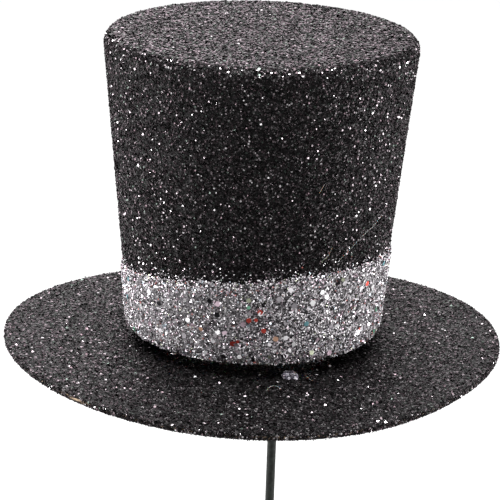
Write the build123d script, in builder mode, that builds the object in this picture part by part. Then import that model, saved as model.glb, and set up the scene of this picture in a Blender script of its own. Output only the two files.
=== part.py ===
from build123d import *
from math import cos, radians, sin
import os

os.makedirs("parts", exist_ok=True)

# A miniature glitter top hat on a wire stem, to be pushed into a bouquet, a wreath or a centrepiece.
# Millimetres. +Z is up and -Y is the front. The origin is on the stem's axis, at the lower end of
# the glue collar under the brim, where the bare length of the stem starts.

# Brim: a card disc with glitter on both faces, bent down a little at its front and back
brim_radius = 37.5
card_thickness = 0.5
brim_bend_radius = 394.0
brim_bend_turn = 11.4  # degrees, from X to the line that the card is bent along

# Crown: a foam plug that widens upwards, with its edges rounded
crown_height = 44.7
crown_base_radius = 18.6
crown_top_radius = 23.0
crown_top_rounding = 1.5
crown_base_rounding = 1.9

# Glitter and its glue, as one film
glitter_thickness = 0.2

# Band of coarse glitter round the lower crown, whose upper edge rises to the right and to the front
band_thickness = 0.45
band_height = 11.2  # above the crown's underside, on the crown's axis
band_slope_right = 0.09
band_slope_front = 0.10
band_start = 0.5  # height of its lower edge above the crown's underside

# Hot glue between the brim and the crown, and a lump of it on the brim at the front
glue_gap = 1.2
glue_pad_radius = 14.0
lump_radius = 1.5
lump_sunk = 0.7  # how far the middle of the lump's ball is under the brim's surface
lump_right = 5.7
lump_front = 18.0

# Wire stem, off centre, its plastic coating, which starts under the hat, and the glue that holds it
wire_radius = 0.5
coating_thickness = 0.2
stem_free_length = 150.0
stem_depth_in_crown = 36.0
stem_right_of_centre = 3.6
coating_chamfer = 0.15
stem_hole_clearance = 0.4
stem_hole_spare_depth = 1.5
collar_height = 1.6
collar_flare = 1.9  # how much wider than the coated stem the collar is under the brim
collar_lip = 0.35  # how much wider than the coated stem it is at its lower end

# Heights above the origin, on the hat's axis
card_low = collar_height + glitter_thickness
card_high = card_low + card_thickness
brim_top = card_high + glitter_thickness
crown_low = brim_top + glue_gap
foam_low = crown_low + glitter_thickness
foam_high = foam_low + crown_height

slab_margin = 5.0  # how far the blocks that cut the bent discs reach past the brim

coated_radius = wire_radius + coating_thickness
stem_hole_radius = wire_radius + stem_hole_clearance
hole_depth = stem_depth_in_crown + stem_hole_spare_depth
hat_axis = Axis((-stem_right_of_centre, 0, 0), (0, 0, 1))
hat_base = Plane(hat_axis.position)
upwards = (Align.CENTER, Align.CENTER, Align.MIN)


def hat_plane(height):
    """The level plane at this height, with its origin on the hat's axis."""
    return hat_base.offset(height)


def bent_slab(low, high):
    """A block between two surfaces that are bent like the card, reaching past the brim."""
    reach = brim_radius + slab_margin
    bend_line = Vector(1, 0, 0).rotate(Axis.Z, brim_bend_turn)
    section = Plane(hat_axis.position, x_dir=bend_line.cross(Vector(0, 0, -1)), z_dir=bend_line)
    with BuildPart() as slab:
        with BuildSketch(section):
            with Locations((0, -brim_bend_radius)):
                Circle(brim_bend_radius + high)
                Circle(brim_bend_radius + low, mode=Mode.SUBTRACT)
            Rectangle(2 * reach, brim_bend_radius, mode=Mode.INTERSECT)
        extrude(amount=reach, both=True)
    return slab.part


def bent_disc(low, high):
    """The brim's outline between two bent surfaces, with a hole for the stem."""
    slab = bent_slab(low, high)
    with BuildPart() as disc:
        with BuildSketch(hat_base):
            Circle(brim_radius)
        extrude(amount=brim_radius, both=True)
        add(slab, mode=Mode.INTERSECT)
        Cylinder(stem_hole_radius, 2 * brim_radius, mode=Mode.SUBTRACT)
    return disc.part


def crown_solid(film):
    """The foam plug without its hole, grown all round by a film of this thickness."""
    low = foam_low - film
    high = foam_high + film
    widening = (crown_top_radius - crown_base_radius) / crown_height
    sideways = film * (1 + widening**2) ** 0.5
    low_radius = crown_base_radius - widening * film + sideways
    high_radius = crown_top_radius + widening * film + sideways
    section = Plane(hat_axis.position, x_dir=(1, 0, 0), z_dir=(0, -1, 0))
    with BuildPart() as crown:
        with BuildSketch(section) as profile:
            with BuildLine():
                Polyline((0, low), (low_radius, low), (high_radius, high), (0, high), close=True)
            make_face()
            outer_corners = profile.vertices().group_by(Axis.X)[1:]
            fillet(outer_corners[0], crown_base_rounding + film)
            fillet(profile.vertices().group_by(Axis.Z)[-1].sort_by(Axis.X)[-1], crown_top_rounding + film)
        revolve(axis=hat_axis)
    return crown.part


# Stem: a steel wire that runs up into the crown, and the black coating on its bare length
with BuildPart() as stem_wire:
    with BuildSketch(Plane.XY.offset(-stem_free_length)):
        Circle(wire_radius)
    extrude(amount=stem_free_length + foam_low + stem_depth_in_crown)
stem_wire.part.label = "stem_wire"
export_step(stem_wire.part, "parts/stem_wire.step")

with BuildPart() as stem_coating:
    with BuildSketch(Plane.XY.offset(-stem_free_length)):
        Circle(coated_radius)
        Circle(wire_radius, mode=Mode.SUBTRACT)
    extrude(amount=stem_free_length)
    chamfer(stem_coating.edges().group_by(Axis.Z)[0].sort_by(SortBy.RADIUS)[-1], coating_chamfer)
stem_coating.part.label = "stem_coating"
export_step(stem_coating.part, "parts/stem_coating.step")

# Brim: the card, and a film of glitter on each face
card_disc = bent_disc(card_low, card_high)
with BuildPart() as brim_board:
    add(card_disc)
brim_board.part.label = "brim_board"
export_step(brim_board.part, "parts/brim_board.step")

upper_film = bent_disc(card_high, brim_top)
with BuildPart() as brim_top_coat:
    add(upper_film)
brim_top_coat.part.label = "brim_top_coat"
export_step(brim_top_coat.part, "parts/brim_top_coat.step")

lower_film = bent_disc(collar_height, card_low)
with BuildPart() as brim_under_coat:
    add(lower_film)
brim_under_coat.part.label = "brim_under_coat"
export_step(brim_under_coat.part, "parts/brim_under_coat.step")

# Crown: the foam plug with a blind hole for the stem
foam = crown_solid(0)
with BuildPart() as crown_core:
    add(foam)
    with Locations((0, 0, foam_low)):
        Cylinder(stem_hole_radius, hole_depth, align=upwards, mode=Mode.SUBTRACT)
crown_core.part.label = "crown_core"
export_step(crown_core.part, "parts/crown_core.step")

# Its film of glitter, left off the underside where the glue grips the foam
coated_foam = crown_solid(glitter_thickness)
with BuildPart() as crown_glitter_coat:
    add(coated_foam)
    add(foam, mode=Mode.SUBTRACT)
    with BuildSketch(hat_plane(crown_low)):
        Circle(glue_pad_radius)
    extrude(amount=glitter_thickness, mode=Mode.SUBTRACT)
crown_glitter_coat.part.label = "crown_glitter_coat"
export_step(crown_glitter_coat.part, "parts/crown_glitter_coat.step")

# Band: coarse glitter over that film, up to a sloping line
banded_foam = crown_solid(glitter_thickness + band_thickness)
band_top = Plane(hat_plane(crown_low + band_height).origin, z_dir=(-band_slope_right, band_slope_front, 1))
with BuildPart() as hat_band:
    add(banded_foam)
    add(coated_foam, mode=Mode.SUBTRACT)
    split(bisect_by=hat_plane(crown_low + band_start), keep=Keep.TOP)
    split(bisect_by=band_top, keep=Keep.BOTTOM)
hat_band.part.label = "hat_band"
export_step(hat_band.part, "parts/hat_band.step")

# Hot glue: the pad between the bent brim and the foam's underside
brim_and_below = bent_slab(-brim_radius, brim_top)
with BuildPart() as crown_glue_pad:
    with BuildSketch(hat_base):
        Circle(glue_pad_radius)
    extrude(amount=foam_low)
    add([brim_and_below, stem_wire.part], mode=Mode.SUBTRACT)
crown_glue_pad.part.label = "crown_glue_pad"
export_step(crown_glue_pad.part, "parts/crown_glue_pad.step")

# The lump on the brim: the top of a ball, seated on the bent surface
lump_from_bend = lump_right * sin(radians(brim_bend_turn)) + lump_front * cos(radians(brim_bend_turn))
lump_drop = brim_bend_radius - (brim_bend_radius**2 - lump_from_bend**2) ** 0.5
with BuildPart() as glue_lump:
    with Locations((lump_right - stem_right_of_centre, -lump_front, brim_top - lump_drop - lump_sunk)):
        Sphere(lump_radius)
    add(brim_and_below, mode=Mode.SUBTRACT)
glue_lump.part.label = "glue_lump"
export_step(glue_lump.part, "parts/glue_lump.step")

# The glue in the foam's hole, round the stem and above its end
with BuildPart() as stem_glue_plug:
    with Locations((0, 0, foam_low)):
        Cylinder(stem_hole_radius, hole_depth, align=upwards)
    add(stem_wire.part, mode=Mode.SUBTRACT)
stem_glue_plug.part.label = "stem_glue_plug"
export_step(stem_glue_plug.part, "parts/stem_glue_plug.step")

# The glue under the brim: a flared collar, and a sleeve that fills the brim's hole
collar_top_radius = coated_radius + collar_flare
with BuildPart() as stem_glue_collar:
    with BuildSketch(Plane.XZ):
        with BuildLine():
            Polyline(
                (0, 0),
                (coated_radius + collar_lip, 0),
                (collar_top_radius, collar_height - collar_lip),
                (collar_top_radius, card_low),
                (0, card_low),
                close=True,
            )
        make_face()
    revolve(axis=Axis.Z)
    Cylinder(stem_hole_radius, foam_low, align=upwards)
    add(brim_and_below, mode=Mode.INTERSECT)
    add([lower_film, card_disc, upper_film, stem_wire.part], mode=Mode.SUBTRACT)
stem_glue_collar.part.label = "stem_glue_collar"
export_step(stem_glue_collar.part, "parts/stem_glue_collar.step")
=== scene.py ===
from math import cos, pi, radians, sin

import bpy
import numpy as np
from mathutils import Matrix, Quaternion, Vector, noise
from mathutils.bvhtree import BVHTree


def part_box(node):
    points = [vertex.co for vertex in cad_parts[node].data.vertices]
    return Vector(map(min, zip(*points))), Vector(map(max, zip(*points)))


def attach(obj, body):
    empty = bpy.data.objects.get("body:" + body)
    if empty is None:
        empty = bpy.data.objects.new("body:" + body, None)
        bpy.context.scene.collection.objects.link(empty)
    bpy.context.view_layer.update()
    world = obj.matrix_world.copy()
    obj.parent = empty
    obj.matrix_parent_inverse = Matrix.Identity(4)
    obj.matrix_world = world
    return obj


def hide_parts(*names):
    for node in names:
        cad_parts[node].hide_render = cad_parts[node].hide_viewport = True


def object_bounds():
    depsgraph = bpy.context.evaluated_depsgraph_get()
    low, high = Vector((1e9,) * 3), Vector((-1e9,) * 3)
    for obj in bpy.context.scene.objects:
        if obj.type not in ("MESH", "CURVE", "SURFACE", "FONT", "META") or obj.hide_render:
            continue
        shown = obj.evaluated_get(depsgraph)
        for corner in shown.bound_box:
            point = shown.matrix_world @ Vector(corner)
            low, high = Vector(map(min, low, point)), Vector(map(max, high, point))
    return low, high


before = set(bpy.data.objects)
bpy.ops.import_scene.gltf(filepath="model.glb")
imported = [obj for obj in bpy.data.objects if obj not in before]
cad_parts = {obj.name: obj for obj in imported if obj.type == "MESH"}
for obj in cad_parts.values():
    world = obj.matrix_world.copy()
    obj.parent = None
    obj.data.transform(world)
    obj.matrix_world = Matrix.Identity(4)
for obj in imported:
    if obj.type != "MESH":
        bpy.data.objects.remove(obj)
cad_low, cad_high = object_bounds()

# A miniature glitter top hat on a wire stem. Metres, in the CAD model's frame: +Z up, -Y the front.
MM = 0.001
rng = np.random.default_rng(11)


# ---------------------------------------------------------------- places read from the frame

def cad_tree(*names):
    """A search tree over the faces of some CAD nodes."""
    vertices, faces = [], []
    for name in names:
        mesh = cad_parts[name].data
        first = len(vertices)
        vertices += [v.co.copy() for v in mesh.vertices]
        faces += [[first + i for i in p.vertices] for p in mesh.polygons]
    return BVHTree.FromPolygons(vertices, faces)


def bent_face(name, side):
    """The bent face of a brim node (side 1 is the upper one, -1 the lower) as six coefficients
    of height over 1, x, y, xx, xy, yy, with x and y from the hat's axis."""
    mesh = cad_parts[name].data
    used = sorted({i for p in mesh.polygons if p.normal.z * side > 0.7 for i in p.vertices})
    points = np.array([mesh.vertices[i].co for i in used])
    terms = bend_terms(points[:, 0] - hat_x, points[:, 1] - hat_y)
    return np.linalg.lstsq(terms, points[:, 2], rcond=None)[0]


def bend_terms(x, y):
    """What a bent face's coefficients are multiplied by."""
    return np.stack([np.ones_like(x), x, y, x * x, x * y, y * y], axis=-1)


def on_brim(face, x, y, lift=0.0):
    """Points on a bent face at x, y from the hat's axis, raised by lift, and the face's normals."""
    height = bend_terms(x, y) @ face
    _, by_x, by_y, by_xx, by_xy, by_yy = face
    slope_x = by_x + 2 * by_xx * x + by_xy * y
    slope_y = by_y + by_xy * x + 2 * by_yy * y
    normal = np.stack([-slope_x, -slope_y, np.ones_like(x)], -1)
    normal /= np.linalg.norm(normal, axis=-1, keepdims=True)
    base = np.stack([x + hat_x, y + hat_y, height], -1)
    return base + normal * np.asarray(lift)[..., None], normal


brim_low, brim_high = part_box("brim_board")
hat_x = (brim_low.x + brim_high.x) / 2
hat_y = (brim_low.y + brim_high.y) / 2
brim_radius = (brim_high.x - brim_low.x) / 2
crown_low, crown_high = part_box("crown_glitter_coat")
film = crown_high.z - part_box("crown_core")[1].z
pad_low, pad_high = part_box("crown_glue_pad")
pad_radius = (pad_high.x - pad_low.x) / 2
band_low, band_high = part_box("hat_band")
wire_low, wire_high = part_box("stem_coating")
wire_radius = (wire_high.x - wire_low.x) / 2
upper_face = bent_face("brim_top_coat", 1)
board_upper_face = bent_face("brim_board", 1)
board_lower_face = bent_face("brim_board", -1)
lower_face = bent_face("brim_under_coat", -1)
brim_top = upper_face[0]


OUTLINE_SAMPLES = 1200
SMOOTHED_SAMPLES = 13  # how many neighbouring samples the outline's direction is averaged over


def crown_outline():
    """Radius, height and outward normal along the crown's skin, from its underside to its top,
    at even steps, with the distance along it."""
    tree = cad_tree("crown_glitter_coat", "crown_core")
    middle = Vector((hat_x, hat_y, (crown_low.z + crown_high.z) / 2))
    reach = 2 * (crown_high.z - crown_low.z)
    found = []
    for turn in np.linspace(-pi / 2, pi / 2, 4 * OUTLINE_SAMPLES):
        way = Vector((cos(turn), 0, sin(turn)))
        hit = tree.ray_cast(middle + way * reach, -way)[0]
        if hit is not None and (hit.x - hat_x > pad_radius or hit.z > middle.z):
            found.append((hit.x - hat_x, hit.z))
    found = np.array(found)
    length = np.r_[0, np.cumsum(np.hypot(*np.diff(found, axis=0).T))]
    even = np.linspace(0, length[-1], OUTLINE_SAMPLES)
    radius = np.interp(even, length, found[:, 0])
    height = np.interp(even, length, found[:, 1])
    along = [np.pad(np.gradient(a), SMOOTHED_SAMPLES // 2, mode="edge") for a in (radius, height)]
    average = np.ones(SMOOTHED_SAMPLES) / SMOOTHED_SAMPLES
    smooth = np.stack([np.convolve(a, average, mode="valid") for a in along])
    smooth /= np.hypot(*smooth)
    return {"s": even, "r": radius, "z": height, "nr": smooth[1], "nz": -smooth[0]}


crown = crown_outline()


def on_crown(s, angle, lift=0.0):
    """Points on the crown's skin at distance s along its outline and angle round it, and normals."""
    r, z, nr, nz = (np.interp(s, crown["s"], crown[k]) for k in ("r", "z", "nr", "nz"))
    size = np.hypot(nr, nz)
    nr, nz = nr / size, nz / size
    normal = np.stack([nr * np.cos(angle), nr * np.sin(angle), nz + 0 * angle], -1)
    base = np.stack([hat_x + r * np.cos(angle), hat_y + r * np.sin(angle), z + 0 * angle], -1)
    return base + normal * np.asarray(lift)[..., None], normal


def s_at_height(height):
    """Distance along the crown's outline to a height on its side."""
    climbing = crown["z"] < crown_high.z - 1 * MM
    return np.interp(height, crown["z"][climbing], crown["s"][climbing])


# ---------------------------------------------------------------- mesh helpers

def round_grid(rows, columns):
    """Row positions from 0 to 1 and angles round the axis, as two arrays of that shape."""
    return np.meshgrid(np.linspace(0, 1, rows), np.arange(columns) * 2 * pi / columns, indexing="ij")


def outwards(angle):
    """Level directions away from the hat's axis, at angles round it."""
    return np.stack([np.cos(angle), np.sin(angle), 0 * angle], -1)


def soft_noise(points, size, shift=0.0):
    """Smooth noise from -1 to 1 with features of about this size, at an array of points."""
    flat = np.asarray(points).reshape(-1, 3) / size + shift
    values = np.fromiter((noise.noise(p) for p in flat), float, len(flat))
    return values.reshape(np.asarray(points).shape[:-1])


def lumpiness(points, layers):
    """Unevenness at an array of points: the sum of layers of noise, each with its height, the size
    of its features and a shift that sets it apart from other layers."""
    return sum(height * soft_noise(points, size, shift) for height, size, shift in layers)


def add_mesh(name, vertices, corners, sizes, materials, slots=None, smooth=False):
    """A mesh piece from flat arrays: the corners of each face in turn, and how many each face has."""
    mesh = bpy.data.meshes.new(name)
    mesh.vertices.add(len(vertices))
    mesh.vertices.foreach_set("co", np.ascontiguousarray(vertices, np.float32).ravel())
    mesh.loops.add(len(corners))
    mesh.loops.foreach_set("vertex_index", np.ascontiguousarray(corners, np.int32))
    mesh.polygons.add(len(sizes))
    mesh.polygons.foreach_set("loop_start", np.r_[0, np.cumsum(sizes)[:-1]].astype(np.int32))
    mesh.polygons.foreach_set("use_smooth", np.full(len(sizes), smooth))
    for material in materials:
        mesh.materials.append(material)
    if slots is not None:
        mesh.polygons.foreach_set("material_index", slots.astype(np.int32))
    mesh.update(calc_edges=True)
    piece = bpy.data.objects.new(name, mesh)
    bpy.context.scene.collection.objects.link(piece)
    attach(piece, "root")
    return piece


def ring_mesh(name, rings, material, cyclic=False):
    """A closed smooth skin through rings of points. It is capped at both ends, or, if cyclic, its
    last ring joins its first."""
    rings = np.asarray(rings)
    rows, columns = rings.shape[:2]
    here = np.arange(rows * columns).reshape(rows, columns)
    if cyclic:
        here = np.vstack([here, here[:1]])
    beside = np.roll(here, -1, axis=1)
    quads = np.stack([here[:-1], beside[:-1], beside[1:], here[1:]], -1).reshape(-1, 4)
    points = rings.reshape(-1, 3)
    a, b, c, d = (points[quads[:, k]] - points.mean(0) for k in range(4))
    outward = np.einsum("ij,ij->i", np.cross(c - a, d - b), a + b + c + d).sum() > 0
    corners, sizes = quads.ravel(), np.full(len(quads), 4)
    if not cyclic:
        corners = np.r_[corners, here[0][::-1], here[-1]]
        sizes = np.r_[sizes, columns, columns]
    if not outward:
        starts = np.r_[0, np.cumsum(sizes)]
        corners = np.concatenate([corners[i:j][::-1] for i, j in zip(starts[:-1], starts[1:])])
    return add_mesh(name, points, corners, sizes, [material], smooth=True)


def thinned(rings, kept=10, step=8):
    """The last rings of a face that isn't seen, and one in every few of its other rings."""
    return np.concatenate([rings[:-kept:step], rings[-kept:]])


# The tilt of flakes is the spread of what is added at random to the normal of the face they lie on
TOP_TILT = 0.16  # low, because the crown's top lay flat when the glitter was strewn on it
SIDE_TILT = 0.34
BRIM_TILT = 0.24
BRIM_UNDER_TILT = 0.4
BRIM_EDGE_TILT = 0.35
BAND_TILT = 0.68
BAND_LARGE_TILT = 0.22
BAND_HEXAGON_TILT = 0.07
GLUE_DROP_TILT = 0.5
LOOSE_TILT = 0.35
UNEVEN_CORNERS = 0.12  # how much the corners of a fine flake vary in their distance from its centre
SUNK = 0.6  # how far the point under a fine flake is sunk, as a share of its radius


def flake_mesh(name, centres, normals, radii, tilt, mix, sides=4, thick=None):
    """Glitter: one closed flake at each centre, lying along the surface but for a random tilt.
    A flake with no thickness given is a flat face over a point sunk into the glue, for the fine
    ones. A thick flake is a prism. The mix holds the flakes' materials, how common each of them is,
    and a slot name, which is not used."""
    materials, chances, slot = mix
    count = len(centres)
    facing = normals + tilt * rng.normal(size=(count, 3))
    facing /= np.linalg.norm(facing, axis=1, keepdims=True)
    across = np.cross(facing, rng.normal(size=(count, 3)))
    across /= np.linalg.norm(across, axis=1, keepdims=True)
    along = np.cross(facing, across)
    turns = np.arange(sides) * 2 * pi / sides
    spread = radii[:, None]
    if thick is None:
        spread = spread * (1 + UNEVEN_CORNERS * rng.normal(size=(count, sides)))
    rim = centres[:, None] + spread[..., None] * (
        np.cos(turns)[:, None] * across[:, None] + np.sin(turns)[:, None] * along[:, None])
    top = np.arange(sides)
    if thick is None:
        apex = centres - facing * radii[:, None] * SUNK
        vertices = np.concatenate([rim, apex[:, None]], 1)
        faces = [top] + [[sides, (k + 1) % sides, k] for k in range(sides)]
    else:
        vertices = np.concatenate([rim, rim - facing[:, None] * thick], 1)
        faces = [top, top[::-1] + sides]
        faces += [[k, k + sides, (k + 1) % sides + sides, (k + 1) % sides] for k in range(sides)]
    per = vertices.shape[1]
    pattern = np.concatenate([np.asarray(f) for f in faces])
    sizes = np.array([len(f) for f in faces])
    corners = (np.arange(count)[:, None] * per + pattern).ravel()
    slots = rng.choice(len(materials), size=count, p=np.asarray(chances) / sum(chances))
    add_mesh(name, vertices.reshape(-1, 3), corners, np.tile(sizes, count), materials,
             slots=np.repeat(slots, len(faces)))


def shared_out(name, meshes, centres, normals, radii, tilt, mix):
    """Fine flakes shared out over a few meshes."""
    for k, part in enumerate(np.array_split(np.arange(len(radii)), meshes)):
        flake_mesh(f"{name}_{k + 1}", centres[part], normals[part], radii[part], tilt, mix)


# ---------------------------------------------------------------- materials

def principled(name, colour, rough, metal=0.0, **sockets):
    material = bpy.data.materials.new(name)
    material.use_nodes = True
    shader = material.node_tree.nodes["Principled BSDF"]
    shader.inputs["Base Color"].default_value = (*colour, 1)
    shader.inputs["Roughness"].default_value = rough
    shader.inputs["Metallic"].default_value = metal
    for socket, value in sockets.items():
        shader.inputs[socket.replace("_", " ")].default_value = value
    return material


class Nodes:
    """Adds nodes to a material and links them, briefly."""

    def __init__(self, material):
        self.tree = material.node_tree
        self.shader = self.tree.nodes["Principled BSDF"]
        self.place = self.tree.nodes.new("ShaderNodeTexCoord").outputs["Object"]

    def add(self, kind, inputs=(), **settings):
        node = self.tree.nodes.new("ShaderNode" + kind)
        for key, value in settings.items():
            setattr(node, key, value)
        for key, value in dict(inputs).items():
            if isinstance(value, bpy.types.NodeSocket):
                self.tree.links.new(value, node.inputs[key])
            else:
                node.inputs[key].default_value = value
        return node

    def ramp(self, factor, *stops):
        node = self.add("ValToRGB", {"Fac": factor})
        elements = node.color_ramp.elements
        while len(elements) < len(stops):
            elements.new(0.5)
        for element, (position, colour) in zip(elements, stops):
            element.position = position
            element.color = (*colour, 1)
        return node.outputs["Color"]

    def shade(self, **links):
        for socket, value in links.items():
            self.tree.links.new(value, self.shader.inputs[socket.replace("_", " ")])


def glitter_bed(name, stops, grain, jitter, rough, specular):
    """The bed of glitter under the separate flakes: each cell is a flake with its own slant and
    shade. The stops say what share of the cells is darker than each shade."""
    material = principled(name, stops[0][1], rough, Specular_IOR_Level=specular)
    n = Nodes(material)
    cells = n.add("TexVoronoi", {"Vector": n.place, "Scale": 1 / grain})
    pick = n.add("SeparateColor", {"Color": cells.outputs["Color"]})
    shade = n.ramp(pick.outputs["Red"], *stops)
    slant = n.add("VectorMath", {0: cells.outputs["Color"], 1: (0.5, 0.5, 0.5)}, operation="SUBTRACT")
    slant = n.add("VectorMath", {0: slant.outputs[0], "Scale": jitter}, operation="SCALE")
    normal = n.add("NewGeometry").outputs["Normal"]
    turned = n.add("VectorMath", {0: slant.outputs[0], 1: normal}, operation="ADD")
    turned = n.add("VectorMath", {0: turned.outputs[0]}, operation="NORMALIZE")
    n.shade(Base_Color=shade, Normal=turned.outputs[0])
    return material


BLACK_BED = [(0.0, (0.002, 0.0018, 0.0019)), (0.6, (0.006, 0.0055, 0.0057)), (0.82, (0.020, 0.018, 0.019)),
             (0.94, (0.055, 0.050, 0.052)), (1.0, (0.15, 0.14, 0.145))]
SILVER_BED = [(0.0, (0.010, 0.009, 0.010)), (0.35, (0.030, 0.027, 0.029)), (0.7, (0.16, 0.15, 0.16)),
              (0.9, (0.42, 0.39, 0.41)), (1.0, (0.85, 0.83, 0.85))]
BED_GRAIN = 0.22 * MM
black_bed = glitter_bed("black_glitter_bed", BLACK_BED, BED_GRAIN, jitter=0.9, rough=0.45, specular=0.08)
silver_bed = glitter_bed("silver_glitter_bed", SILVER_BED, BED_GRAIN, jitter=1.2, rough=0.35, specular=0.3)

# Flakes by tint: colour, roughness, tint of their sheen when seen edge on, and how common each is.
# A flake with no sheen lies with its matt side up.
PINK, GREENISH, NEUTRAL = (1.0, 0.90, 0.95), (0.96, 1.0, 0.96), (1.0, 0.965, 0.98)
BLACK_FLAKES = {
    "pitch_flake": ((0.0025, 0.0023, 0.0024), 0.5, None, 33),
    "soot_flake": ((0.007, 0.0062, 0.0065), 0.30, NEUTRAL, 20),
    "black_flake": ((0.018, 0.0142, 0.0155), 0.25, PINK, 19),
    "maroon_flake": ((0.040, 0.029, 0.033), 0.24, PINK, 7),
    "green_black_flake": ((0.021, 0.026, 0.023), 0.24, GREENISH, 7),
    "slate_flake": ((0.047, 0.040, 0.043), 0.22, PINK, 7.5),
    "grey_flake": ((0.135, 0.116, 0.125), 0.20, PINK, 5.5),
    "pale_flake": ((0.33, 0.31, 0.32), 0.20, NEUTRAL, 2.0),
    "bright_flake": ((0.80, 0.77, 0.79), 0.14, NEUTRAL, 0.25),
}
SILVER_FLAKES = {
    "silver_flake": ((0.82, 0.79, 0.82), 0.40, NEUTRAL, 28),
    "dull_silver_flake": ((0.36, 0.34, 0.36), 0.44, NEUTRAL, 18),
    "mauve_flake": ((0.62, 0.48, 0.55), 0.42, PINK, 13),
    "dark_silver_flake": ((0.05, 0.046, 0.048), 0.38, NEUTRAL, 17),
    "black_speck_flake": ((0.010, 0.009, 0.010), 0.42, NEUTRAL, 7),
    "white_flake": ((0.84, 0.82, 0.84), 0.5, None, 15),
    "blue_silver_flake": ((0.50, 0.57, 0.63), 0.38, NEUTRAL, 4),
    "olive_silver_flake": ((0.34, 0.36, 0.27), 0.42, NEUTRAL, 3),
    "rose_speck_flake": ((0.48, 0.17, 0.15), 0.5, None, 2),
}
# The band's large coloured flakes: colour and roughness
ACCENT_FLAKES = {
    "red_flake": ((0.46, 0.065, 0.050), 0.45),
    "peach_flake": ((0.72, 0.44, 0.31), 0.45),
    "green_flake": ((0.16, 0.34, 0.24), 0.45),
    "teal_flake": ((0.14, 0.30, 0.33), 0.45),
    "black_hex_flake": ((0.012, 0.012, 0.013), 0.35),
    "grey_hex_flake": ((0.33, 0.31, 0.33), 0.45),
    "white_hex_flake": ((0.70, 0.69, 0.70), 0.40),
}


def flake_materials(table):
    made = {}
    for name, (colour, rough, sheen, _) in table.items():
        if sheen is None:
            made[name] = principled(name, colour, rough, Specular_IOR_Level=0.06)
        else:
            made[name] = principled(name, colour, rough, 1.0, Specular_Tint=(*sheen, 1))
    return made


def black_mix(**more):
    """The black flakes as a mix for flake_mesh, with some tints made more or less common."""
    chances = [row[-1] * more.get(name, 1) for name, row in BLACK_FLAKES.items()]
    return list(black_flakes.values()), chances, "black_glitter"


black_flakes = flake_materials(BLACK_FLAKES)
silver_flakes = flake_materials(SILVER_FLAKES)
accent_flakes = {
    name: principled(name, colour, rough, 1.0)
    for name, (colour, rough) in ACCENT_FLAKES.items()
}
# Flake shades shared out by place as painted light: the crown's flat top gets fewer pale and bright
# flakes, painted to glint less; the brim gets more pitch-black flakes and fewer pale ones, a painted
# shade; rounded edges get many more pale and bright flakes, painted glints
side_mix = black_mix()
flat_fewer_painted_glints_mix = black_mix(pale_flake=0.5, bright_flake=0.05)
brim_painted_shade_mix = black_mix(pitch_flake=1.4, pale_flake=0.5, bright_flake=0.05)
edge_painted_glint_mix = black_mix(pale_flake=2.5, bright_flake=5)
silver_mix = (list(silver_flakes.values()), [row[-1] for row in SILVER_FLAKES.values()], "silver_glitter")
loose_mix = ([silver_flakes["silver_flake"], silver_flakes["white_flake"]], [1, 1], "silver_glitter")


def wire_coating():
    material = principled("black_coating", (0.012, 0.013, 0.012), 0.6, Specular_IOR_Level=0.12)
    n = Nodes(material)
    specks = n.add("TexNoise", {"Vector": n.place, "Scale": 1 / (0.5 * MM), "Detail": 3})
    shade = n.ramp(specks.outputs["Fac"], (0.35, (0.008, 0.009, 0.008)), (0.7, (0.022, 0.026, 0.023)))
    bump = n.add("Bump", {"Height": specks.outputs["Fac"], "Strength": 0.3, "Distance": 0.06 * MM})
    n.shade(Base_Color=shade, Normal=bump.outputs["Normal"])
    return material


def card():
    material = principled("kraft_card", (0.36, 0.25, 0.16), 0.85)
    n = Nodes(material)
    fibres = n.add("TexNoise", {"Vector": n.place, "Scale": 1 / (0.35 * MM), "Detail": 5})
    shade = n.ramp(fibres.outputs["Fac"], (0.3, (0.20, 0.135, 0.085)), (0.7, (0.46, 0.34, 0.23)))
    bump = n.add("Bump", {"Height": fibres.outputs["Fac"], "Strength": 0.5, "Distance": 0.1 * MM})
    n.shade(Base_Color=shade, Normal=bump.outputs["Normal"])
    return material


def glue(name, dark, light):
    material = principled(name, light, 0.3, Subsurface_Weight=0.3, Subsurface_Scale=1 * MM)
    n = Nodes(material)
    clouds = n.add("TexNoise", {"Vector": n.place, "Scale": 1 / (1.2 * MM), "Detail": 3})
    shade = n.ramp(clouds.outputs["Fac"], (0.3, dark), (0.7, light))
    bump = n.add("Bump", {"Height": clouds.outputs["Fac"], "Strength": 0.4, "Distance": 0.2 * MM})
    n.shade(Base_Color=shade, Normal=bump.outputs["Normal"])
    return material


def foam():
    material = principled("white_foam", (0.90, 0.90, 0.89), 0.6)
    n = Nodes(material)
    beads = n.add("TexVoronoi", {"Vector": n.place, "Scale": 1 / (2.5 * MM)})
    # Darker towards the edges of the beads, where the bump sinks them: painted shade in the hollows
    # between beads
    shade = n.ramp(beads.outputs["Distance"], (0.2, (0.92, 0.92, 0.91)), (0.7, (0.74, 0.74, 0.73)))
    bump = n.add("Bump", {"Height": beads.outputs["Distance"], "Strength": 0.6, "Distance": 0.3 * MM},
                 invert=True)
    n.shade(Base_Color=shade, Normal=bump.outputs["Normal"])
    return material


def clouded_glue():
    """Clear glue seen over black glitter, with scraps of silver glitter in it."""
    material = principled("clouded_glue", (0.07, 0.06, 0.078), 0.3, Specular_IOR_Level=0.25)
    n = Nodes(material)
    scraps = n.add("TexVoronoi", {"Vector": n.place, "Scale": 1 / (0.28 * MM)})
    pick = n.add("SeparateColor", {"Color": scraps.outputs["Color"]})
    shade = n.ramp(pick.outputs["Red"], (0.0, (0.012, 0.010, 0.014)), (0.55, (0.045, 0.038, 0.055)),
                   (0.85, (0.13, 0.12, 0.15)), (1.0, (0.45, 0.43, 0.47)))
    bump = n.add("Bump", {"Height": scraps.outputs["Distance"], "Strength": 0.6, "Distance": 0.1 * MM})
    n.shade(Base_Color=shade, Normal=bump.outputs["Normal"])
    return material


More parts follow.
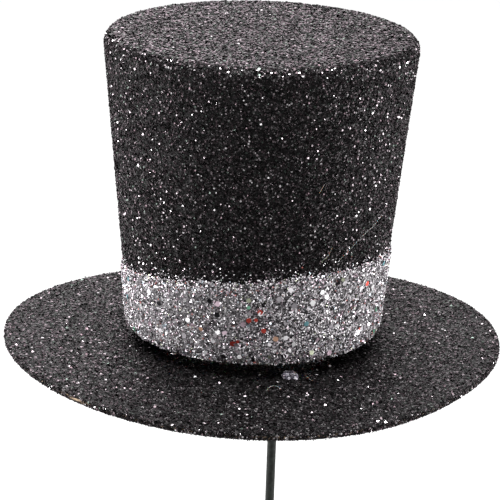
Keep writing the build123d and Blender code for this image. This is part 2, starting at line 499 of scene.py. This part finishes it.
def steel():
    material = principled("steel_wire", (0.55, 0.55, 0.56), 0.35, 1.0)
    n = Nodes(material)
    drawn = n.add("Mapping", {"Vector": n.place, "Scale": (1, 1, 0.02)})
    lines = n.add("TexNoise", {"Vector": drawn.outputs["Vector"], "Scale": 1 / (0.1 * MM), "Detail": 3})
    shade = n.ramp(lines.outputs["Fac"], (0.3, (0.40, 0.40, 0.41)), (0.7, (0.62, 0.62, 0.63)))
    rough = n.ramp(lines.outputs["Fac"], (0.3, (0.28, 0.28, 0.28)), (0.7, (0.45, 0.45, 0.45)))
    n.shade(Base_Color=shade, Roughness=rough)
    return material


glue_material = glue("hot_glue", (0.60, 0.56, 0.50), (0.80, 0.77, 0.72))
CAD_MATERIALS = {
    "crown_core": foam(),
    "crown_glue_pad": glue_material,
    "stem_glue_plug": glue_material,
    "stem_wire": steel(),
}
for node, material in CAD_MATERIALS.items():
    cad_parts[node].data.materials.clear()
    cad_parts[node].data.materials.append(material)


# ---------------------------------------------------------------- crown

POLE = 0.15 * MM  # how far from the axis the film's last ring is, where it is capped
BED_DEPTH = 0.08 * MM  # how far the bed of glitter is under the CAD skin, which its flakes reach
CROWN_LUMPS = ((0.08 * MM, 1.6 * MM, 0), (0.05 * MM, 0.5 * MM, 9))  # layers for lumpiness
CROWN_FLAKES = 160000
CROWN_RADII = (0.10, 0.19)  # millimetres, as all ranges of flake radii are


def crown_film():
    along, angle = round_grid(rows=210, columns=400)
    s = along * (crown["s"][-1] - POLE)
    skin, _ = on_crown(s, angle)
    outer, _ = on_crown(s, angle, lumpiness(skin, CROWN_LUMPS) - BED_DEPTH)
    inner, _ = on_crown(s, angle, -film)
    rings = np.concatenate([outer[::-1], thinned(inner)])
    piece = ring_mesh("crown_glitter_film", rings, black_bed)
    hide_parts("crown_glitter_coat")


def crown_flakes():
    """Flakes spread evenly over the crown: a place on its outline is as likely as its ring is long."""
    ring_length = np.maximum(crown["r"], 0.2 * MM)
    total = np.r_[0, np.cumsum(ring_length[:-1])]
    n = CROWN_FLAKES
    s = np.interp(rng.random(n) * total[-1], total, crown["s"])
    angle = rng.random(n) * 2 * pi
    lift = rng.normal(0.02, 0.05, n) * MM
    centres, normals = on_crown(s, angle, lift)
    radii = rng.uniform(*CROWN_RADII, n) * MM
    top = normals[:, 2] > 0.9
    rim = (normals[:, 2] > 0.3) & ~top
    side = ~top & ~rim
    # The top's fewer pale flakes are painted to glint less, and the rim's extra pale and bright flakes are
    # painted glints
    for name, meshes, part, scale, tilt, mix in (
        ("crown_top_flakes", 2, top, 1.4, TOP_TILT, flat_fewer_painted_glints_mix),
        ("crown_rim_flakes", 1, rim, 1.2, SIDE_TILT, edge_painted_glint_mix),
        ("crown_side_flakes", 5, side, 1.0, SIDE_TILT, side_mix),
    ):
        shared_out(name, meshes, centres[part], normals[part], scale * radii[part], tilt, mix)


crown_film()
crown_flakes()


# ---------------------------------------------------------------- band

BAND_EDGE_WAVES = ((0.35 * MM, 4 * MM, 0), (0.25 * MM, 1.1 * MM, 5))
BAND_LUMPS = ((0.14 * MM, 1.1 * MM, 0), (0.08 * MM, 0.5 * MM, 3))
BAND_BED = 0.38 * MM  # how thick the band's bed of glitter is, away from its edges
BAND_THINNEST = 0.03 * MM
BAND_FULL_LUMPS = 0.3 * MM  # the thickness at which its lumps have the height given
BAND_SUNK = 0.15 * MM  # how far its inner face is under the crown's skin
BAND_MESHES = 3
BAND_FINE_FLAKES = 15000  # in each mesh
BAND_FINE_RADII = (0.07, 0.15)
BAND_LARGE_FLAKES = 260
BAND_LARGE_RADII = (0.26, 0.46)
BAND_STRAYS = 0.04  # the share of the fine flakes that strayed past the band's upper edge


def band_edge(angle):
    """Height of the band's upper edge at an angle round the hat: the CAD node's slope, made ragged."""
    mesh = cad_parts["hat_band"].data
    tops = [p for p in mesh.polygons if p.normal.z > 0.9]
    area = sum(p.area for p in tops)
    centre = sum((p.center * p.area for p in tops), Vector()) / area
    normal = sum((p.normal * p.area for p in tops), Vector()).normalized()
    radius = (band_high.x - band_low.x) / 2
    x, y = hat_x + radius * np.cos(angle), hat_y + radius * np.sin(angle)
    level = centre.z - (normal.x * (x - centre.x) + normal.y * (y - centre.y)) / normal.z
    return level + lumpiness(outwards(angle) * radius, BAND_EDGE_WAVES)


def band_s(share, angle):
    """Distance along the crown's outline at a share of the band's width, 0 at its lower edge."""
    lowest = s_at_height(band_low.z)
    highest = s_at_height(band_edge(angle))
    return lowest + share * (highest - lowest)


def hat_band():
    along, angle = round_grid(rows=70, columns=420)
    s = band_s(along, angle)
    skin, _ = on_crown(s, angle)
    # It thins out towards both of its edges, and its lumps with it
    thick = BAND_BED * np.minimum(1, 6 * np.minimum(along + 0.05, 1.02 - along))
    lumps = lumpiness(skin, BAND_LUMPS) * thick / BAND_FULL_LUMPS
    outer, _ = on_crown(s, angle, np.maximum(thick + lumps, BAND_THINNEST))
    inner, _ = on_crown(s, angle, -BAND_SUNK)
    rings = np.concatenate([outer, inner[::-1]])
    piece = ring_mesh("hat_band_bed", rings, silver_bed, cyclic=True)
    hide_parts("hat_band")


def band_fine_flakes():
    """Fine flakes that lie lower towards the band's upper edge, and past it."""
    n = BAND_FINE_FLAKES
    for k in range(BAND_MESHES):
        angle = rng.random(n) * 2 * pi
        share = np.where(rng.random(n) < BAND_STRAYS, 1 + rng.exponential(0.05, n), rng.random(n) * 1.02)
        lift = rng.uniform(0.25, 0.46, n) * MM * np.clip((1.06 - share) / 0.08, 0.15, 1)
        centres, normals = on_crown(band_s(share, angle), angle, lift)
        radii = rng.uniform(*BAND_FINE_RADII, n) * MM
        flake_mesh(f"band_fine_flakes_{k + 1}", centres, normals, radii, BAND_TILT, silver_mix, sides=6)


def band_large_flakes():
    n = BAND_LARGE_FLAKES
    angle = rng.random(n) * 2 * pi
    s = band_s(rng.random(n) * 0.96, angle)
    lift = rng.uniform(0.42, 0.5, n) * MM
    centres, normals = on_crown(s, angle, lift)
    radii = rng.uniform(*BAND_LARGE_RADII, n) * MM
    flake_mesh("band_large_flakes", centres, normals, radii, BAND_LARGE_TILT, silver_mix,
               sides=6, thick=0.04 * MM)


# Large coloured hexagons on the front of the band, by material: degrees round the hat, share of the
# band's width, and radius in millimetres
BAND_HEXAGONS = {
    "red_flake": [(-87, 0.66, 0.42), (-91.5, 0.56, 0.42), (-88.6, 0.57, 0.30), (-85.2, 0.43, 0.40),
                  (-98, 0.27, 0.46), (-96, 0.30, 0.28)],
    "peach_flake": [(-80, 0.33, 0.42), (-112, 0.42, 0.34)],
    "green_flake": [(-91.8, 0.72, 0.30)],
    "teal_flake": [(-67, 0.48, 0.42)],
    "black_hex_flake": [(-104.8, 0.62, 0.44), (-108, 0.79, 0.36), (-133, 0.66, 0.42), (-50, 0.62, 0.38)],
    "grey_hex_flake": [(-79.5, 0.80, 0.46), (-73, 0.70, 0.48), (-55, 0.40, 0.40), (-120, 0.30, 0.44)],
    "white_hex_flake": [(-65, 0.72, 0.46), (-61, 0.82, 0.40), (-139, 0.80, 0.44), (-146, 0.55, 0.42),
                        (-118, 0.52, 0.42), (-72, 0.25, 0.36)],
}
OTHER_HEXAGONS = 60  # round the sides and the back


def band_hexagons():
    """Those hexagons, and others at random places round the sides and the back."""
    names = list(accent_flakes)
    rows = {name: list(BAND_HEXAGONS[name]) for name in names}
    for _ in range(OTHER_HEXAGONS):
        row = (rng.uniform(-40, 220), rng.random() * 0.95, rng.uniform(0.3, 0.46))
        rows[names[rng.integers(len(names))]].append(row)
    for name in names:
        angle, share, radii = np.array(rows[name]).T
        angle = np.radians(angle)
        centres, normals = on_crown(band_s(share, angle), angle, 0.52 * MM)
        mix = ([accent_flakes[name]], [1], "silver_glitter")
        flake_mesh("band_" + name + "s", centres, normals, radii * MM, BAND_HEXAGON_TILT, mix,
                   sides=6, thick=0.05 * MM)


hat_band()
band_fine_flakes()
band_large_flakes()
band_hexagons()


# ---------------------------------------------------------------- brim

# The card was cut a little flat at the right front: degrees round the hat, half width, depth
FLAT_SPOT = (-36, 20, 0.6 * MM)
# Spots on the brim's edge where the card shows: degrees round the hat, half width, share bare
BARE_EDGE = [(-131, 4, 0.9), (-84, 5, 0.5), (24, 4, 0.85), (96, 5, 0.85), (158, 3, 0.8)]
EDGE_ROUNDING = 0.3 * MM  # how far in from the brim's edge its faces start to curve
EDGE_MARGIN = 0.1 * MM  # how far in from the brim's edge the flakes on its faces start
COLLAR_SPACE = 3 * MM  # how far from the hat's axis the flakes under the brim start
HOLE_CLEARANCE = 0.4 * MM  # between the coated stem and the brim
BRIM_LUMPS = ((1, 1.4 * MM, 0), (0.6, 0.5 * MM, 4))  # their heights are shares of a face's roughness
BRIM_TOP_FLAKES = 60000
BRIM_TOP_RADII = (0.11, 0.25)
BRIM_UNDER_FLAKES = 24000
BRIM_UNDER_RADII = (0.10, 0.18)
BRIM_EDGE_FLAKES = 15000
BRIM_EDGE_RADII = (0.09, 0.18)
hole_radius = wire_radius + HOLE_CLEARANCE
coat = 0.9 * film  # how far a coat of glitter is rounded off at the brim's edge


def round_spot(angle, middle, half_width):
    """How much a spot on the brim's edge is felt at an angle round it: 1 in the spot's middle."""
    apart = (np.degrees(angle) - middle + 180) % 360 - 180
    return np.exp(-(apart / half_width) ** 2)


def edge_radius(angle):
    """How far the brim's edge is from the hat's axis at an angle round it."""
    middle, half_width, depth = FLAT_SPOT
    return brim_radius - depth * round_spot(angle, middle, half_width)


def brim_disc(name, upper, lower, material, node, rough, ragged, inset, rounding=(0.0, 0.0)):
    """A bent disc between two faces, with a little unevenness on its faces (rough) and round its edge
    (ragged), which is inset. The rounding is how far its upper and its lower face are taken off at
    the edge. The rings of its mesh lie closer together towards the edge."""
    along, angle = round_grid(rows=150, columns=480)
    along = 1 - (1 - along)**1.4
    rim = edge_radius(angle)
    out = hole_radius + along * (rim - hole_radius)
    into_edge = np.clip((out - rim) / EDGE_ROUNDING + 1, 0, 1)
    raggedness = ragged * soft_noise(outwards(angle) * brim_radius, 1.5 * MM, 2)
    out = out + along**8 * (raggedness - inset)
    x, y = out * np.cos(angle), out * np.sin(angle)
    droop = 1 - np.sqrt(1 - into_edge**2)
    above, _ = on_brim(upper, x, y)
    below, _ = on_brim(lower, x, y)
    above, _ = on_brim(upper, x, y, rough * lumpiness(above, BRIM_LUMPS) - rounding[0] * droop)
    below, _ = on_brim(lower, x, y, rough * 0.5 * soft_noise(below, 1.2 * MM, 7) + rounding[1] * droop)
    piece = ring_mesh(name, np.concatenate([above, thinned(below)[::-1]]), material, cyclic=True)
    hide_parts(node)


def disc_points(n, inner):
    """The x and y of random places spread evenly over the brim, from an inner radius to near its edge."""
    angle = rng.random(n) * 2 * pi
    outer = edge_radius(angle) - EDGE_MARGIN
    out = np.sqrt(inner**2 + rng.random(n) * (outer**2 - inner**2))
    return out * np.cos(angle), out * np.sin(angle)


def brim_top_flakes():
    n = BRIM_TOP_FLAKES
    x, y = disc_points(n, pad_radius)
    lift = rng.normal(0.03, 0.05, n) * MM
    centres, normals = on_brim(upper_face, x, y, lift)
    radii = rng.uniform(*BRIM_TOP_RADII, n) * MM
    # More pitch-black and fewer pale flakes on the brim: painted shade
    shared_out("brim_top_flakes", 3, centres, normals, radii, BRIM_TILT, brim_painted_shade_mix)


def brim_under_flakes():
    n = BRIM_UNDER_FLAKES
    x, y = disc_points(n, COLLAR_SPACE)
    lift = rng.normal(0.0, 0.03, n) * MM
    centres, normals = on_brim(lower_face, x, y, lift)
    radii = rng.uniform(*BRIM_UNDER_RADII, n) * MM
    shared_out("brim_under_flakes", 1, centres, -normals, radii, BRIM_UNDER_TILT, side_mix)


def brim_edge_flakes():
    """Glitter that wraps round the brim's edge, apart from a few spots where the card shows."""
    n = BRIM_EDGE_FLAKES
    angle = rng.random(n) * 2 * pi
    share = rng.random(n)  # 0 at the upper face, 1 at the lower one
    turn = 2 * share - 1
    turn = np.sign(turn) * np.clip(np.abs(turn) * 2 - 1, 0, 1)  # 0 halfway down, -1 and 1 at the faces
    out = edge_radius(angle) - 0.9 * EDGE_ROUNDING * turn**2 + rng.normal(-0.03, 0.05, n) * MM
    x, y = out * np.cos(angle), out * np.sin(angle)
    above, up = on_brim(upper_face, x, y)
    below, _ = on_brim(lower_face, x, y)
    centres = above + share[:, None] * (below - above)
    normals = outwards(angle) - turn[:, None] * up
    normals /= np.linalg.norm(normals, axis=1, keepdims=True)
    bare = np.zeros(n)
    for middle, half_width, amount in BARE_EDGE:
        bare = np.maximum(bare, amount * round_spot(angle, middle, half_width))
    kept = rng.random(n) > bare * (np.abs(share - 0.55) < 0.4)
    radii = rng.uniform(*BRIM_EDGE_RADII, kept.sum()) * MM
    # The edge's extra pale and bright flakes are painted glints
    shared_out("brim_edge_flakes", 1, centres[kept], normals[kept], radii, BRIM_EDGE_TILT, edge_painted_glint_mix)


brim_disc("brim_card", board_upper_face, board_lower_face, card(), "brim_board",
          rough=0.0, ragged=0.06 * MM, inset=0.2 * MM)
brim_disc("brim_top_film", upper_face, board_upper_face, black_bed, "brim_top_coat",
          rough=0.05 * MM, ragged=0.08 * MM, inset=0.05 * MM, rounding=(coat, 0.0))
brim_disc("brim_under_film", board_lower_face, lower_face, black_bed, "brim_under_coat",
          rough=0.0, ragged=0.08 * MM, inset=0.05 * MM, rounding=(0.0, coat))
brim_top_flakes()
brim_under_flakes()
brim_edge_flakes()


# ---------------------------------------------------------------- wire and glue

STEM_TIP = 0.15 * MM  # how far the coating's lower end is bevelled
STEM_LUMPS = (0.012 * MM, 0.6 * MM)  # height, and size of the features
STEM_ROWS = 600
COLLAR_LIP = 0.25 * MM  # how much wider than the coated stem the collar is at its lower end
COLLAR_FLARE = 1.6  # the power that its flare goes with: 1 would be a straight cone
COLLAR_LUMPS = (0.12 * MM, 1.5 * MM)
COLLAR_ROWS = 24
DROP_ROWS, DROP_COLUMNS = 24, 60
DROP_DEPTH = 0.85  # the glue drop's depth from front to back, as a share of its width
DROP_LUMPS = ((0.35, 0.9 * MM, 4), (0.15, 0.35 * MM, 8))  # their heights are shares of its size
DROP_FLAKES = 30
DROP_RADII = (0.07, 0.17)
WISP_RADIUS = 0.03 * MM
WISP_SIDES = 6


def lathe(name, outline, material, node, lumps):
    """A piece turned on the stem's axis from (radius, height) pairs, with lumps on its radius."""
    lump_height, lump_size = lumps
    _, angle = round_grid(len(outline), columns=48)
    radius = outline[:, :1] + 0 * angle
    height = outline[:, 1:] + 0 * angle
    even = np.stack([radius * np.cos(angle), radius * np.sin(angle), height], -1)
    radius = radius + lump_height * soft_noise(even, lump_size)
    rings = np.stack([radius * np.cos(angle), radius * np.sin(angle), height], -1)
    piece = ring_mesh(name, rings, material)
    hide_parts(node)


def coated_stem():
    skin = wire_radius - STEM_LUMPS[0]
    heights = np.linspace(wire_low.z + STEM_TIP, wire_high.z, STEM_ROWS)
    shaft = np.stack([np.full(STEM_ROWS, skin), heights], 1)
    outline = np.concatenate([[[skin - STEM_TIP, wire_low.z]], shaft])
    lathe("coated_stem", outline, wire_coating(), "stem_coating", STEM_LUMPS)


def stem_glue():
    """The collar under the brim, and the glue that fills the brim's hole above it."""
    low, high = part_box("stem_glue_collar")
    underside = lower_face[0]
    narrow = wire_radius + COLLAR_LIP
    wide = (high.x - low.x) / 2
    share = np.linspace(0, 1, COLLAR_ROWS)
    radius = narrow + (wide - narrow) * share**COLLAR_FLARE
    flare = np.stack([radius, low.z + (underside - low.z) * share], 1)
    sleeve = [[hole_radius, underside + 0.05 * MM], [hole_radius, brim_top]]
    outline = np.concatenate([flare, sleeve])
    lathe("stem_glue", outline, glue_material, "stem_glue_collar", COLLAR_LUMPS)


def glue_drop():
    """The lump of glue on the brim: an uneven dome with scraps of glitter stuck to it."""
    low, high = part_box("glue_lump")
    middle = (low + high) / 2
    spread = (high.x - low.x) / 2
    climb, angle = round_grid(DROP_ROWS, DROP_COLUMNS)
    reach = spread * np.cos(climb * pi / 2) + 0.01 * MM
    height = low.z + (high.z - low.z) * np.sin(climb * pi / 2)
    x, y = middle.x + reach * np.cos(angle), middle.y + DROP_DEPTH * reach * np.sin(angle)
    rings = np.stack([x, y, height], -1)
    foot = np.array([middle.x, middle.y, low.z])
    rings = foot + (rings - foot) * (1 + lumpiness(rings, DROP_LUMPS))[..., None]
    piece = ring_mesh("glue_drop", rings, clouded_glue())
    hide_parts("glue_lump")
    row = rng.integers(1, DROP_ROWS - 4, DROP_FLAKES)
    column = rng.integers(0, DROP_COLUMNS, DROP_FLAKES)
    centres = rings[row, column]
    outward = centres - foot
    outward /= np.linalg.norm(outward, axis=1, keepdims=True)
    radii = rng.uniform(*DROP_RADII, DROP_FLAKES) * MM
    flake_mesh("glue_drop_flakes", centres, outward, radii, GLUE_DROP_TILT, silver_mix,
               sides=6, thick=0.03 * MM)


# Silver flakes that came off the band: degrees round the hat, millimetres from its axis, radius
LOOSE_FLAKES = [
    (-135, 16.2, 0.42), (-39, 15.6, 0.34), (-33, 15.9, 0.30), (-50, 18.0, 0.20), (-58, 18.3, 0.17),
    (-61, 19.6, 0.19), (-86, 18.2, 0.20), (-79, 20.8, 0.18), (-72, 26.0, 0.19), (-56, 22.7, 0.17),
    (-112, 21.4, 0.16), (-147, 20.2, 0.17), (24, 21.0, 0.2), (71, 19.8, 0.24), (118, 22.5, 0.2),
]


def loose_flakes():
    angle, out, radii = np.array(LOOSE_FLAKES).T
    angle = np.radians(angle)
    centres, normals = on_brim(upper_face, out * MM * np.cos(angle), out * MM * np.sin(angle), 0.18 * MM)
    flake_mesh("loose_silver_flakes", centres, normals, radii * MM, LOOSE_TILT, loose_mix,
               sides=6, thick=0.04 * MM)


# Wisps of glue stuck to the hat. On the crown: degrees round the hat and millimetres above the brim.
# On the brim: millimetres to the right of the hat's axis and behind it.
CROWN_WISPS = [
    [(-55, 16.8), (-49, 18.4), (-42, 20.2), (-36, 21.0), (-30, 22.3)],
    [(-66, 28.0), (-64.8, 28.9), (-63.8, 29.4)],
    [(-62, 17.5), (-59.5, 18.1), (-58, 19.4)],
]
BRIM_WISPS = [
    [(2.3, -23.8), (2.6, -22.8), (3.1, -22.0), (3.7, -22.0), (4.5, -22.7)],
    [(7.9, -17.6), (8.3, -18.5), (8.9, -19.6)],
    [(7.8, -14.2), (7.6, -14.9), (7.5, -15.5)],
]


def wisp(name, line, normals):
    """A hair of glue, thinner at its ends, along a line on a surface with these normals."""
    steps = np.linspace(0, len(line) - 1, 8 * len(line))
    known = np.arange(len(line))
    fine = np.stack([np.interp(steps, known, line[:, k]) for k in range(3)], -1)
    for _ in range(4):
        fine[1:-1] = (fine[:-2] + 2 * fine[1:-1] + fine[2:]) / 4
    out = np.stack([np.interp(steps, known, normals[:, k]) for k in range(3)], -1)
    along = np.gradient(fine, axis=0)
    along /= np.linalg.norm(along, axis=1, keepdims=True)
    out -= along * np.sum(out * along, axis=1, keepdims=True)
    out /= np.linalg.norm(out, axis=1, keepdims=True)
    side = np.cross(along, out)
    turn = np.arange(WISP_SIDES)[:, None] * 2 * pi / WISP_SIDES
    radius = WISP_RADIUS * (0.6 + 0.4 * np.sin(np.linspace(0.15, pi - 0.15, len(steps))))
    circle = np.cos(turn) * out[:, None] + np.sin(turn) * side[:, None]
    rings = fine[:, None] + radius[:, None, None] * circle
    ring_mesh(name, rings, wisp_material)


def glue_wisps():
    for k, rows in enumerate(CROWN_WISPS):
        angle, height = np.array(rows).T
        line, normals = on_crown(s_at_height(brim_top + height * MM), np.radians(angle), 0.22 * MM)
        wisp(f"crown_glue_wisp_{k + 1}", line, normals)
    for k, rows in enumerate(BRIM_WISPS):
        x, y = np.array(rows).T * MM
        line, normals = on_brim(upper_face, x, y, 0.2 * MM)
        wisp(f"brim_glue_wisp_{k + 1}", line, normals)


wisp_material = glue("glue_wisp", (0.12, 0.115, 0.11), (0.34, 0.33, 0.32))
coated_stem()
stem_glue()
glue_drop()
loose_flakes()
glue_wisps()


# ---------------------------------------------------------------- floor, light and camera

ROOM = 0.60  # the world's strength away from the backdrop
BACKDROP = 1.78  # its strength behind the object
BACKDROP_EDGE = (0.55, 0.95)  # the Y of the directions between which it goes from one to the other
FLOOR_WIDTH = 12
FLOOR_GLOW = 0.80
# Softboxes aimed at the crown: place, width, height and power
SOFTBOXES = {
    "left_softbox": ((-0.60, 0.0, 0.03), 0.50, 0.24, 6.6),
    "right_softbox": ((0.60, 0.0, 0.03), 0.46, 0.24, 4.8),
    "top_softbox": ((0.0, -0.02, 0.60), 0.15, 0.15, 2.6),
    "overhead_softbox": ((-0.05, -0.05, 0.75), 0.34, 0.34, 15.0),
    "back_softbox": ((-0.22, 0.60, 0.60), 0.56, 0.56, 4.2),
}
CAMERA_DISTANCE = 370 * MM
CAMERA_ELEVATION = radians(19.9)
CAMERA_ROLL = radians(1.915)
CAMERA_AIM = Vector((-0.74, 0, 12.8)) * MM  # from the middle of the brim
CAMERA_LENS = 175.1  # on a sensor 36 wide


def add_floor():
    bpy.ops.mesh.primitive_plane_add(size=FLOOR_WIDTH, location=(0, 0, cad_low.z))
    floor = bpy.context.object
    floor.name = "floor"
    floor.data.materials.append(principled("pale_floor", (0.15, 0.15, 0.15), 0.9, Specular_IOR_Level=0.0,
                                           Emission_Color=(1, 1, 1, 1), Emission_Strength=FLOOR_GLOW))


def add_light(name, place, width, height, power, aim):
    data = bpy.data.lights.new(name, "AREA")
    data.shape, data.size, data.size_y, data.energy = "RECTANGLE", width, height, power
    light = bpy.data.objects.new(name, data)
    light.location = place
    light.rotation_mode = "QUATERNION"
    light.rotation_quaternion = (Vector(aim) - Vector(place)).to_track_quat("-Z", "Y")
    bpy.context.scene.collection.objects.link(light)


def add_world():
    """A bright backdrop behind the object and a dim room in front of it."""
    world = bpy.data.worlds.new("studio")
    bpy.context.scene.world = world
    world.use_nodes = True
    tree = world.node_tree
    place = tree.nodes.new("ShaderNodeTexCoord")
    parts = tree.nodes.new("ShaderNodeSeparateXYZ")
    ramp = tree.nodes.new("ShaderNodeMapRange")
    ramp.interpolation_type = "SMOOTHSTEP"
    ramp.inputs["From Min"].default_value, ramp.inputs["From Max"].default_value = BACKDROP_EDGE
    ramp.inputs["To Min"].default_value, ramp.inputs["To Max"].default_value = ROOM, BACKDROP
    tree.links.new(place.outputs["Generated"], parts.inputs[0])
    tree.links.new(parts.outputs["Y"], ramp.inputs["Value"])
    background = tree.nodes["Background"]
    background.inputs["Color"].default_value = (1, 1, 1, 1)
    tree.links.new(ramp.outputs["Result"], background.inputs["Strength"])


def add_camera():
    brim_centre = Vector((hat_x, hat_y, brim_top))
    camera = bpy.data.objects.new("camera", bpy.data.cameras.new("camera"))
    camera.data.lens = CAMERA_LENS
    camera.data.sensor_width = 36
    camera.data.clip_start, camera.data.clip_end = 0.02, 50
    towards_camera = Vector((0, -cos(CAMERA_ELEVATION), sin(CAMERA_ELEVATION)))
    camera.location = brim_centre + CAMERA_DISTANCE * towards_camera
    camera.rotation_mode = "QUATERNION"
    forward = brim_centre + CAMERA_AIM - camera.location
    camera.rotation_quaternion = forward.to_track_quat("-Z", "Y") @ Quaternion((0, 0, 1), CAMERA_ROLL)
    bpy.context.scene.collection.objects.link(camera)
    bpy.context.scene.camera = camera


crown_middle = Vector((hat_x, hat_y, (crown_low.z + crown_high.z) / 2))
add_floor()
add_world()
for name, (place, width, height, power) in SOFTBOXES.items():
    add_light(name, place, width, height, power, crown_middle)
add_camera()
bpy.context.scene.view_settings.view_transform = "Standard"
